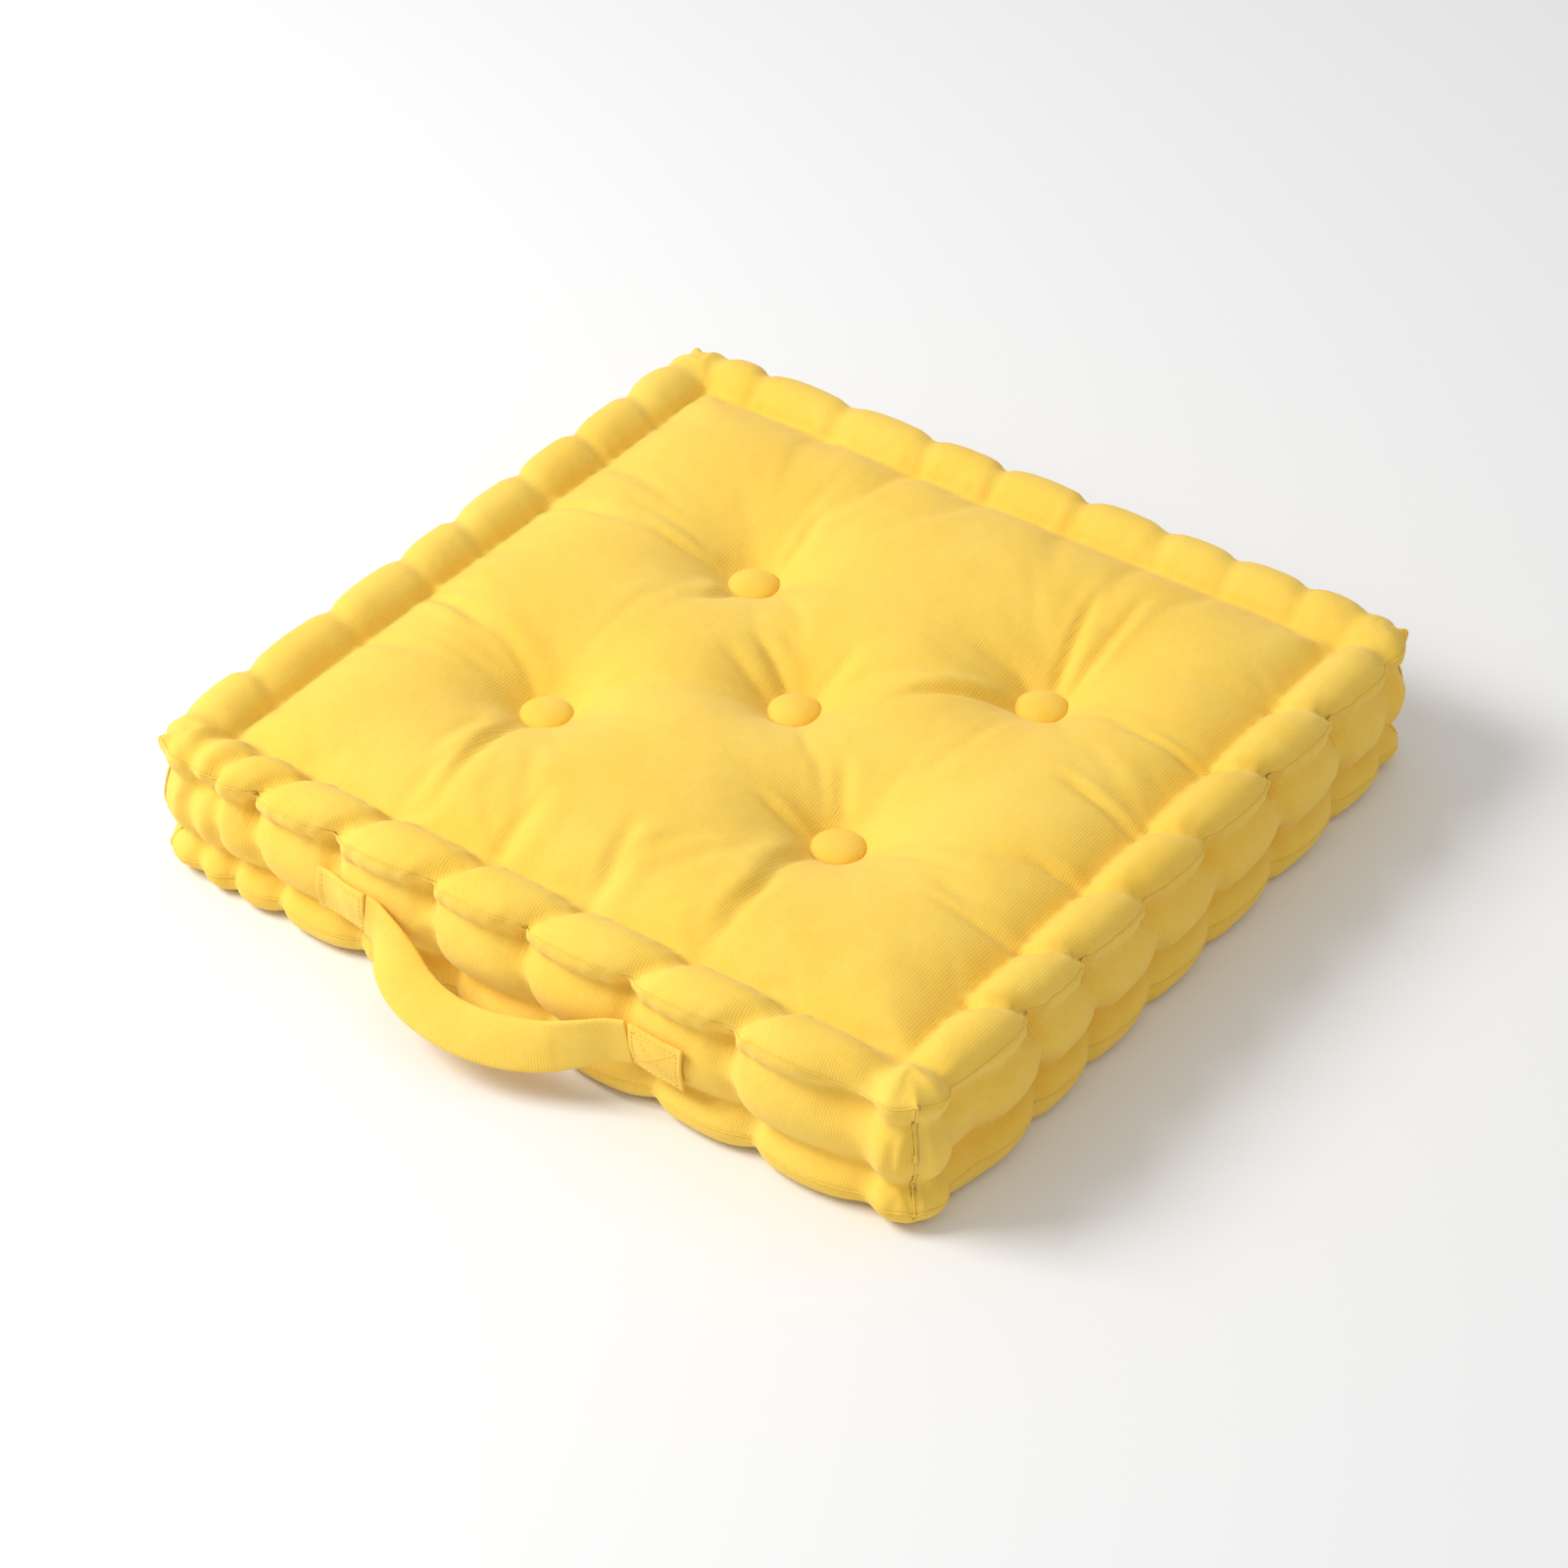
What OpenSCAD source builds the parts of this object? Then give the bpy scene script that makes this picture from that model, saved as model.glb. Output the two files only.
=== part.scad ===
// Tufted floor cushion with a rolled edge and a carrying strap.
// Millimetres. Origin on the floor under the middle of the cushion, +Z up.
// The strap is on the front side, which faces -Y.

/* [Cushion] */
// Width, left to right, over the rolled edges
cushion_width = 510; // [400:5:650]
// Depth, front to back, over the rolled edges
cushion_depth = 495; // [400:5:650]
// Height at the fullest part of the panels
cushion_height = 100; // [96:1:140]
// Thickness of the cover cloth
cloth_thickness = 1.2; // [0.8:0.1:1.5]

/* [Rolled edge] */
// Width of the roll that runs round the top and the bottom
roll_width = 35; // [24:1:40]
// Drop from the top panel to the seam on the roll
roll_drop = 24; // [20:1:30]
// Radius of the shoulder where the panel turns down to the roll
shoulder_radius = 20; // [14:1:22]

/* [Tufting] */
// Distance from the middle tuft to the others, left to right
tuft_across = 98; // [80:1:120]
// Distance from the middle tuft to the others, front to back
tuft_along = 82; // [75:1:120]
// Sideways drift of the back tufts to the right and the front ones to the left
tuft_drift = 10; // [0:1:14]
// Depth of a tuft below the panel
tuft_depth = 36; // [20:1:38]
// Radius of the dip at the panel
dip_radius = 52; // [40:1:56]

/* [Buttons] */
// Radius of a covered button
button_radius = 15; // [12:0.5:16]
// Height of the button's rim
button_rim = 3; // [2.5:0.1:5]
// Rise of the button's dome above its rim
button_dome = 5; // [3:0.5:7]
// Thickness of the cloth over a button
button_cloth = 1; // [0.6:0.1:1]
// Thickness of the metal cap in a button
button_metal = 0.6; // [0.4:0.1:0.8]

/* [Stitching] */
// Stitch gaps along the front side
stitch_gaps_front = 8; // [4:1:9]
// Stitch gaps along the right side
stitch_gaps_right = 7; // [4:1:9]
// Stitch gaps along the back side
stitch_gaps_back = 9; // [4:1:9]
// Stitch gaps along the left side
stitch_gaps_left = 8; // [4:1:9]
// Length of a stitch that shows
stitch_length = 7; // [4:0.5:10]
// Radius of the stitching thread
stitch_radius = 0.5; // [0.3:0.1:0.6]
// Drop from the top seam to the upper row of stitches on the sides
stitch_drop = 12; // [8:0.5:14]
// Rise from the bottom seam to the lower row of stitches on the sides
stitch_rise = 4; // [3:0.5:4.5]
// Radius of the seam thread
seam_radius = 0.4; // [0.2:0.1:0.5]

/* [Strap] */
// Width of the strap
strap_width = 28; // [20:1:32]
// Thickness of the folded strap
strap_thickness = 2.4; // [1.6:0.1:4]
// Drop from the cushion's mid height to the middle of the strap
strap_drop = 5; // [3:0.5:6]
// Length of each sewn end
tab_length = 35; // [25:1:45]
// Distance over both sewn ends
strap_span = 242; // [180:1:280]
// Offset of the strap from the middle of the front side
strap_shift = -8; // [-40:1:40]
// How far the loop stands out at its middle
loop_reach = 46; // [30:1:60]
// How far the loop droops at its middle
loop_droop = 9; // [0:1:14]

/* [Hidden] */
TUFTS = ["center", "back_left", "back_right", "front_left", "front_right"];
FACES = ["top", "bottom"];
SIDES = ["front", "right", "back", "left"];

$fn = 48;
cloth_color = [0.96, 0.80, 0.30];
thread_color = [0.93, 0.74, 0.24];
filling_color = [0.95, 0.94, 0.90];
metal_color = [0.75, 0.76, 0.78];

// Clearances
layer_gap = 0.1;      // between the cover and what lies against it
seam_gap = 0.6;       // half of the slot that a seam thread fills
hinge_gap = 0.3;      // between the strap's free loop and the side
eye_gap = 0.7;        // round a button's eye in the cloth and the filling
overshoot = 1;        // how far a cut runs past the face that it opens

// Places round the cushion
half_width = cushion_width / 2;
half_depth = cushion_depth / 2;
mid_height = cushion_height / 2;
roll_radius = roll_width / 2;
seam_height = cushion_height - roll_drop;
shoulder_bite = 1;    // how far the shoulder runs into the roll
shoulder_in = roll_width + shoulder_radius - shoulder_bite;
seat_height = cushion_height - tuft_depth;

// A tuft's dip is a cone: seat_radius at the seat, dip_radius at the panel
seat_radius = button_radius + 2;
dip_slope = (dip_radius - seat_radius) / tuft_depth;
dip_spread = sqrt(1 + dip_slope * dip_slope);

// Button: all heights are above the seat
button_top = button_rim + button_dome;
fold_width = 5;       // cloth turned under the button
back_edge = 0.8;      // thickness of the back where it presses on the cloth
eye_ring = 2.2;       // radius of the eye, and of the twine's loop, to the wire's middle
eye_wire = 0.5;
eye_drop = 1.6;       // eye's middle below the seat
twine_radius = 0.6;
twine_loop_drop = eye_drop + eye_ring + eye_wire + layer_gap;
eye_hole = eye_ring + eye_wire + eye_gap;
eye_pocket = twine_loop_drop + eye_ring + twine_radius + eye_gap;

// Strap
strap_height = mid_height - strap_drop;
strap_back = half_depth + hinge_gap;
tab_inner = strap_span / 2 - tab_length;
tab_gap = 0.4;        // between a sewn end and the free loop
loop_steps = 26;

// Stitches
stitch_row_top = seam_height - stitch_drop;
stitch_row_bottom = cushion_height - seam_height + stitch_rise;
side_count = 4;
leg_radius = 0.8 * stitch_radius;
valley_rise = 7;      // valley's bottom above the roll's middle
stitch_gaps = [stitch_gaps_front, stitch_gaps_right, stitch_gaps_back, stitch_gaps_left];

// Half sizes seen from side i: distance out to its face, and half its length
function side_out(i) = i % 2 == 0 ? half_depth : half_width;
function side_half(i) = i % 2 == 0 ? half_width : half_depth;

// How far out from the middle the mitred band of a side starts
function inner_length(i) = side_out(i) - shoulder_in;

// Place of tuft i on the panel
function tuft_place(i) =
  i == 0 ? [0, 0] :
  i == 1 ? [-tuft_across + tuft_drift, tuft_along] :
  i == 2 ? [tuft_across + tuft_drift, tuft_along] :
  i == 3 ? [-tuft_across - tuft_drift, -tuft_along] :
  [tuft_across - tuft_drift, -tuft_along];

// Turns what is drawn for the front side, which faces -Y, to side i
module on_side(i) {
  rotate([0, 0, 90 * i]) children();
}

// Upside down about the cushion's mid height for the bottom face
module on_face(face) {
  if (face == 0) children();
  else translate([0, 0, cushion_height]) mirror([0, 0, 1]) children();
}

// Section through the cushion from its middle (x = 0) out to one side,
// with every outer surface moved in by inset
module side_section(out, inset) {
  translate([0, cushion_height - seam_height])
    square([out - inset, 2 * seam_height - cushion_height]);
  translate([0, inset])
    square([out - shoulder_in, cushion_height - 2 * inset]);
  for (z = [0, cushion_height]) {
    roll_z = z == 0 ? cushion_height - seam_height : seam_height;
    shoulder_z = z == 0 ? shoulder_radius : cushion_height - shoulder_radius;
    translate([out - roll_radius, roll_z]) circle(r = roll_radius - inset);
    translate([out - shoulder_in, shoulder_z]) circle(r = shoulder_radius - inset);
  }
}

// Draws a section along one side of the cushion, mitred at both corners
module mitred_side(i) {
  on_side(i)
    intersection() {
      rotate([90, 0, -90])
        linear_extrude(height = 2 * side_half(i), center = true) children();
      linear_extrude(height = cushion_height)
        polygon([
          [-side_half(i), -side_out(i)],
          [side_half(i), -side_out(i)],
          [side_half(i) - side_out(i) + inner_length(i), -inner_length(i)],
          [-side_half(i) + side_out(i) - inner_length(i), -inner_length(i)]
        ]);
    }
}

// Dip of a tuft, grown by grow on every side and cut off at height top
module dip(grow, top) {
  bottom = seat_height - grow;
  bottom_radius = seat_radius - dip_slope * grow + dip_spread * grow;
  translate([0, 0, bottom])
    cylinder(
      h = top - bottom,
      r1 = bottom_radius,
      r2 = bottom_radius + dip_slope * (top - bottom)
    );
}

module at_tufts() {
  for (i = [0:len(TUFTS) - 1]) translate(tuft_place(i)) children();
}

// Cotton batting that fills the cover, with a channel at each tuft
module filling() {
  inset = cloth_thickness + layer_gap;
  color(filling_color)
    difference() {
      union() {
        translate([-half_width + shoulder_in, -half_depth + shoulder_in, inset])
          cube([
            cushion_width - 2 * shoulder_in,
            cushion_depth - 2 * shoulder_in,
            cushion_height - 2 * inset
          ]);
        for (i = [0:side_count - 1]) mitred_side(i) side_section(side_out(i), inset);
      }
      at_tufts() {
        cylinder(h = cushion_height, r = twine_radius + layer_gap);
        for (face = [0, 1]) on_face(face) {
          dip(inset, cushion_height + overshoot);
          translate([0, 0, seat_height - eye_pocket]) cylinder(h = eye_pocket, r = eye_hole);
        }
      }
    }
}

// Upper half of the cover's skin at one side, down to the seam on the roll
module panel_section(out) {
  difference() {
    intersection() {
      side_section(out, 0);
      translate([0, seam_height + seam_gap]) square([out, cushion_height - seam_height]);
    }
    side_section(out, cloth_thickness);
  }
}

// Top or bottom panel: one cloth from seam to seam, drawn down at the tufts
module panel(face) {
  color(cloth_color)
    on_face(face)
      difference() {
        union() {
          translate([
            -half_width + shoulder_in,
            -half_depth + shoulder_in,
            cushion_height - cloth_thickness
          ])
            cube([
              cushion_width - 2 * shoulder_in,
              cushion_depth - 2 * shoulder_in,
              cloth_thickness
            ]);
          for (i = [0:side_count - 1]) mitred_side(i) panel_section(side_out(i));
          at_tufts() dip(cloth_thickness, cushion_height);
        }
        at_tufts() {
          dip(0, cushion_height + overshoot);
          translate([0, 0, seat_height - eye_pocket]) cylinder(h = eye_pocket, r = eye_hole);
        }
      }
}

// Boxing strip of one side, between the two rolls' seams
module side_panel(i) {
  low = cushion_height - seam_height + seam_gap;
  color(cloth_color)
    on_side(i)
      translate([0, 0, low])
        linear_extrude(height = cushion_height - 2 * low)
          polygon([
            [-side_half(i) + seam_gap, -side_out(i)],
            [side_half(i) - seam_gap, -side_out(i)],
            [side_half(i) - seam_gap - cloth_thickness, -side_out(i) + cloth_thickness],
            [-side_half(i) + seam_gap + cloth_thickness, -side_out(i) + cloth_thickness]
          ]);
}

// Straight thread along X between two distances from the middle
module thread_x(from, to, radius) {
  translate([from, 0, 0]) rotate([0, 90, 0]) cylinder(h = to - from, r = radius);
}

// Thread of the seam between a panel and the four side panels
module seam_thread(face) {
  inside = cloth_thickness / 2;
  color(thread_color)
    on_face(face)
      for (i = [0:side_count - 1])
        on_side(i)
          translate([0, -side_out(i) + inside, seam_height]) {
            reach = side_half(i) - inside;
            thread_x(-reach, reach, seam_radius);
            translate([reach, 0, 0]) sphere(r = seam_radius);
          }
}

// Threads of the four upright corner seams
module corner_seam_threads() {
  inside = cloth_thickness / 2;
  low = cushion_height - seam_height + seam_gap;
  color(thread_color)
    for (x = [-1, 1], y = [-1, 1])
      translate([x * (half_width - inside), y * (half_depth - inside), low])
        cylinder(h = cushion_height - 2 * low, r = seam_radius);
}

// One stitch of the rolled edge: a thread in the valley beside the panel, a
// leg through the filling under the roll, and a thread on the side panel
module edge_stitch(out, row_height) {
  valley = [-out + roll_width - shoulder_bite / 2, seam_height + valley_rise];
  side = [-out - stitch_radius - layer_gap, row_height];
  run = side - valley;
  translate([0, valley[0], valley[1]]) thread_x(-stitch_length / 2, stitch_length / 2, stitch_radius);
  translate([0, side[0], side[1]]) thread_x(-stitch_length / 2, stitch_length / 2, stitch_radius);
  translate([0, valley[0], valley[1]])
    rotate([atan2(-run[0], run[1]), 0, 0])
      cylinder(h = norm(run), r = leg_radius);
}

// Ring of edge stitches, evenly spaced along each side
module edge_stitches(face, row_height) {
  color(thread_color)
    on_face(face)
      for (i = [0:side_count - 1]) {
        run = 2 * (side_half(i) - roll_width);
        gap = run / stitch_gaps[i];
        for (k = [1:stitch_gaps[i] - 1])
          on_side(i)
            translate([-run / 2 + k * gap, 0, 0]) edge_stitch(side_out(i), row_height);
      }
}

// Sewn end of the strap, flat against the front side; end is -1 left, 1 right
module strap_tab(end) {
  middle = strap_shift + end * (tab_inner + tab_length / 2);
  color(cloth_color)
    translate([
      middle - tab_length / 2,
      -half_depth - layer_gap - strap_thickness,
      strap_height - strap_width / 2
    ])
      cube([tab_length, strap_thickness, strap_width]);
}

// Thread that holds a sewn end: a square with a cross in it
module box_stitching(end) {
  margin = 3;
  wide = tab_length - 2 * margin;
  high = strap_width - 2 * margin;
  middle = strap_shift + end * (tab_inner + tab_length / 2);
  slope = atan2(high, wide);
  long = sqrt(wide * wide + high * high);
  color(thread_color)
    translate([middle, -half_depth - 2 * layer_gap - strap_thickness - seam_radius, strap_height]) {
      for (z = [-1, 1]) translate([0, 0, z * high / 2]) thread_x(-wide / 2, wide / 2, seam_radius);
      for (x = [-1, 1])
        translate([x * wide / 2, 0, -high / 2]) cylinder(h = high, r = seam_radius);
      for (s = [-1, 1])
        rotate([0, s * slope, 0]) thread_x(-long / 2, long / 2, seam_radius);
    }
}

// Middle line of the free loop at t from 0 to 1: along, out, height
function loop_middle(t) = [
  strap_shift + (2 * t - 1) * (tab_inner - tab_gap),
  -(strap_back + strap_thickness / 2) - loop_reach * pow(sin(180 * t), 1.5),
  strap_height - loop_droop * sin(180 * t)
];

// Free loop of the strap: its upright section swept along the middle line
module strap_loop() {
  step = 1 / loop_steps;
  rings = [
    for (k = [0:loop_steps])
      let (
        t = k * step,
        here = loop_middle(t),
        ahead = loop_middle(min(1, t + step / 2)) - loop_middle(max(0, t - step / 2)),
        across = [-ahead[1], ahead[0], 0] / norm([ahead[0], ahead[1]]) * strap_thickness / 2,
        rise = [0, 0, strap_width / 2]
      )
        [here - across - rise, here + across - rise, here + across + rise, here - across + rise]
  ];
  points = [for (ring = rings, p = ring) p];
  last = 4 * loop_steps;
  faces = concat(
    [[0, 1, 2, 3], [last + 3, last + 2, last + 1, last]],
    [
      for (k = [0:loop_steps - 1], j = [0:3])
        [4 * k + j, 4 * (k + 1) + j, 4 * (k + 1) + (j + 1) % 4, 4 * k + (j + 1) % 4]
    ]
  );
  color(cloth_color) polyhedron(points, faces);
}

// Twine that ties a top button to a bottom one, with a loop through each eye
module tuft_twine(i) {
  loop_height = seat_height - twine_loop_drop;
  color(thread_color)
    translate(tuft_place(i)) {
      for (face = [0, 1])
        on_face(face)
          translate([0, 0, loop_height])
            rotate([90, 0, 0])
              rotate_extrude() translate([eye_ring, 0]) circle(r = twine_radius);
      low = cushion_height - loop_height + eye_ring;
      translate([0, 0, low]) cylinder(h = cushion_height - 2 * low, r = twine_radius);
    }
}

// Solid dome of a button, moved in by inset from the outside of its cloth
module button_dome_solid(inset) {
  radius = button_radius - inset;
  dome_radius = (pow(button_radius, 2) + pow(button_dome, 2)) / (2 * button_dome);
  intersection() {
    translate([0, 0, inset]) cylinder(h = button_top - inset, r = radius);
    translate([0, 0, button_top - dome_radius]) sphere(r = dome_radius - inset);
  }
}

module on_seat(face, i) {
  translate(tuft_place(i)) on_face(face) translate([0, 0, seat_height + layer_gap]) children();
}

// Cloth of a button, drawn over the cap and turned under
module button_cover(face, i) {
  color(cloth_color)
    on_seat(face, i)
      difference() {
        button_dome_solid(0);
        button_dome_solid(button_cloth);
        translate([0, 0, -overshoot])
          cylinder(h = button_cloth + 2 * overshoot, r = button_radius - fold_width);
      }
}

// Metal cap that gives a button its dome
module button_cap(face, i) {
  outside = button_cloth + layer_gap / 2;
  color(metal_color)
    on_seat(face, i)
      difference() {
        button_dome_solid(outside);
        button_dome_solid(outside + button_metal);
        translate([0, 0, -overshoot])
          cylinder(h = outside + 2 * overshoot, r = button_radius - outside - button_metal);
      }
}

// Back of a button: a stepped disc that presses on the turned cloth, and the
// wire eye that the twine holds
module button_back(face, i) {
  edge = button_radius - button_cloth - button_metal - 2 * layer_gap;
  color(metal_color)
    on_seat(face, i) {
      translate([0, 0, layer_gap])
        cylinder(h = button_cloth + back_edge, r = button_radius - fold_width - layer_gap);
      translate([0, 0, button_cloth + layer_gap]) cylinder(h = back_edge, r = edge);
      translate([0, 0, -eye_drop - layer_gap])
        rotate([90, 0, 90])
          rotate_extrude() translate([eye_ring, 0]) circle(r = eye_wire);
    }
}

filling();
panel(0);  // top_panel
panel(1);  // bottom_panel
for (i = [0:side_count - 1])
  side_panel(i);
seam_thread(0);  // seam_thread_top
seam_thread(1);  // seam_thread_bottom
corner_seam_threads();
edge_stitches(0, stitch_row_top);  // edge_stitches_top
edge_stitches(1, cushion_height - stitch_row_bottom);  // edge_stitches_bottom
strap_tab(-1);  // strap_tab_left
strap_tab(1);  // strap_tab_right
strap_loop();
box_stitching(-1);  // box_stitching_left
box_stitching(1);  // box_stitching_right
for (i = [0:len(TUFTS) - 1]) {
  tuft_twine(i);
  for (f = [0, 1]) {
    button_cover(f, i);
    button_cap(f, i);
    button_back(f, i);
  }
}
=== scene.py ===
import bpy
import bmesh
import math
import numpy as np
from mathutils import Matrix, Vector
from mathutils.bvhtree import BVHTree


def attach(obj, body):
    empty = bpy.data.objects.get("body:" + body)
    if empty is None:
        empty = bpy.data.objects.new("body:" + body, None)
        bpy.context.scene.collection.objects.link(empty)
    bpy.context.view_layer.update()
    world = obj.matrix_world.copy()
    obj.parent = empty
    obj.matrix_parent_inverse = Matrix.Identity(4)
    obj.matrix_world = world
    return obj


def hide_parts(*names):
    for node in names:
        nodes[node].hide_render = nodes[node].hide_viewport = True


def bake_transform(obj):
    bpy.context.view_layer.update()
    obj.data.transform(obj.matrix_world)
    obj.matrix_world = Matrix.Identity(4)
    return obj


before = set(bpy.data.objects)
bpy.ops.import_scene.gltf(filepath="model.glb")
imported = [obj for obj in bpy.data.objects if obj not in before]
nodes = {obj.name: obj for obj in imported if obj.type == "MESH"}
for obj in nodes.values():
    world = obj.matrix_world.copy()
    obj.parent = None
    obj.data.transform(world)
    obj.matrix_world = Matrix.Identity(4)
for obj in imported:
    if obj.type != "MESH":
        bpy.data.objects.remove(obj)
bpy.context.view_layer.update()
scene = bpy.context.scene

# everything is in metres, x to the right, y to the back, z up, floor at z = 0
cushion = {
    "width": 0.510,
    "depth": 0.495,
    "rollWidth": 0.035,
    "clothSpare": 1.045,        # cloth cut between the rolls, over the room it fills
    "rollCloth": 0.048,        # cloth that goes over a roll, inner stitches to seam
    "sideCloth": 0.088,        # height that the side strips are cut to
    "gridStep": 0.006,
    "thickness": 0.0012,
    "tufts": {
        "center": (0.0, 0.0),
        "back_left": (-0.088, 0.082),
        "back_right": (0.108, 0.082),
        "front_left": (-0.108, -0.082),
        "front_right": (0.088, -0.082),
    },
    "tuftTop": 0.0632,
    "tuftBottom": 0.0368,
    "tuftRadius": 0.013,
}

# edge stitches along each side, seen from outside, left to right, from the middle
stitching = {
    "places": [
        [-0.220, -0.192, -0.159, -0.103, -0.038, 0.024, 0.092, 0.155, 0.216],
        [-0.2125, -0.160, -0.109, -0.051, 0.008, 0.074, 0.139, 0.2115],
        [-0.219, -0.188, -0.141, -0.095, -0.041, 0.016, 0.066, 0.127, 0.188, 0.221],
        [-0.2105, -0.165, -0.114, -0.060, -0.003, 0.044, 0.106, 0.173, 0.2105],
    ],
    "lean": [-0.023, 0.020, 0.008, -0.010],   # outer end of a crease past its inner end
    "lowerLean": [0.015, 0.012, 0.008, 0.008],  # lower row past the upper row
    "puffDepth": [1.0, 1.0, 0.42, 0.38],  # how deep the creases over each side's roll go
    "roundness": 0.5,
    "overlap": 0.75,           # below 1, a middle puff swells at its left end
    # cloth used from the inner stitches where the overlap and the leaning start and stop
    "overlapPlaces": [0.060, 0.070, 0.112, 0.120],
    "leanPlaces": [0.016, 0.052, 0.067, 0.117, 0.184],
    "barLength": 0.006,
    "threadRadius": 0.0006,
}

# way over an edge in millimetres: cloth used, out past the edge, height
# full is halfway between two stitches, tight is at a stitch
edgeProfile = {
    "full": [
        (0, -35, 78), (6, -34, 84), (16, -27, 91), (26, -18, 94.5), (37, -7, 92), (48, 2, 84),
        (57, 3, 76), (67, -5, 67), (77, 0, 60.5), (87, 4, 51), (97, 3, 41), (107, -2, 32),
        (117, -9, 26), (127, 0, 21), (136, 3, 14), (146, 1, 6), (156, -6, 1), (166, -15, 0), (184, -35, 5),
    ],
    "tight": [
        (0, -35, 76), (6, -33, 79), (16, -26, 83), (26, -18, 84), (37, -12, 80.5), (48, -10, 75),
        (57, -13, 70), (67, -17, 66), (77, -10, 58), (87, -6, 50), (97, -7, 41), (107, -10, 32),
        (117, -16, 26), (127, -9, 21), (136, -7, 14), (146, -9, 6), (156, -16, 1), (166, -22, 1),
        (184, -35, 9),
    ],
}

# the seat between the rolls, and the underside
seat = {
    "edgeHeight": 0.077,
    "crown": 0.021,
    "crownReach": 0.016,
    "underLift": 0.006,
    "underReach": 0.030,
    "dip": 0.034,              # depth of the cone at a tuft
    "dipReach": 0.019,
    "underDipReach": 0.013,
}

clothSim = {
    "frames": 26,
    "pullFrames": 10,
    "pressure": 25.0,
    "tension": 20.0,
    "compression": 6.0,
    "shear": 6.0,
    "bending": 0.5,
    "mass": 0.02,
    "quality": 8,
    "damping": 2.0,
    "edgeHold": 0.62,          # how firmly the edge keeps to its profile, 0 to 1
    "panelHold": 0.35,
    "keepProfile": 0.6,        # share of the sewn profile that the rolls keep after it
    "keepPanel": 0.4,
}


corner = {
    "radius": 0.034,
    "roundness": 0.68,         # 0 leaves the corners square in plan, 1 makes them arcs
    # level on the cut box as a share of its height, height of the ear, height of the inner corner
    "heights": [(1, 0.089, 0.077), (0, 0.010, 0.012)],
}


def turnedToSide(side, point):
    return Matrix.Rotation(math.pi / 2 * side, 3, "Z") @ Vector(point)


def cutSize():
    inner = [cushion["width"] / 2 - cushion["rollWidth"], cushion["depth"] / 2 - cushion["rollWidth"]]
    return [2 * (half * cushion["clothSpare"] + cushion["rollCloth"]) for half in inner]


def smoothStep(value, low, high):
    t = np.clip((value - low) / (high - low), 0, 1)
    return t * t * (3 - 2 * t)


def addGrid(mesh, place, width, height, columns, rows, index):
    size = Matrix.Diagonal((width, height, 1, 1))
    made = bmesh.ops.create_grid(mesh, x_segments=columns, y_segments=rows, size=0.5, matrix=place @ size)
    for face in {face for vert in made["verts"] for face in vert.link_faces}:
        face.material_index = index


def cutCloth():
    # the six pieces, still flat, sewn into a box
    width, depth = cutSize()
    height = cushion["sideCloth"]
    step = cushion["gridStep"]
    across, along, up = round(width / step), round(depth / step), round(height / step)
    move, turn = Matrix.Translation, Matrix.Rotation
    mesh = bmesh.new()
    addGrid(mesh, move((0, 0, height)), width, depth, across, along, 0)
    addGrid(mesh, turn(math.pi, 4, "X"), width, depth, across, along, 1)
    for side in range(4):
        out, long, count = (depth / 2, width, across) if side % 2 == 0 else (width / 2, depth, along)
        place = turn(math.pi / 2 * side, 4, "Z") @ move((0, -out, height / 2)) @ turn(math.pi / 2, 4, "X")
        addGrid(mesh, place, long, height, count, up, 2 + side)
    bmesh.ops.remove_doubles(mesh, verts=mesh.verts, dist=1e-5)
    data = bpy.data.meshes.new("cover")
    mesh.to_mesh(data)
    mesh.free()
    cover = bpy.data.objects.new("cover", data)
    scene.collection.objects.link(cover)
    return cover


def readPoints(data):
    points = np.zeros(len(data.vertices) * 3)
    data.vertices.foreach_get("co", points)
    return points.reshape(-1, 3)


def writePoints(data, points):
    data.vertices.foreach_set("co", points.astype(np.float32).ravel())
    data.update()


def sideFrame(side, x, y):
    # places along and out from a side, its cut edges, and its finished edges
    angle = -math.pi / 2 * side
    along = x * math.cos(angle) - y * math.sin(angle)
    outward = x * math.sin(angle) + y * math.cos(angle)
    cutWidth, cutDepth = cutSize()
    out, half = cushion["depth"] / 2, cushion["width"] / 2
    if side % 2:
        return along, outward, cutWidth / 2, cutDepth / 2, half, out
    return along, outward, cutDepth / 2, cutWidth / 2, out, half


def creaseShift(side, used, along, innerHalf):
    # how far a crease has leaned along its side by this place on the way over the edge
    lean, lower = stitching["lean"][side], stitching["lowerLean"][side]
    shift = np.interp(used, stitching["leanPlaces"], [0, lean * 0.9, lean, lean + lower, 0])
    return shift * (1 - smoothStep(np.abs(along), innerHalf - 0.030, innerHalf + 0.005))


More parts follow.
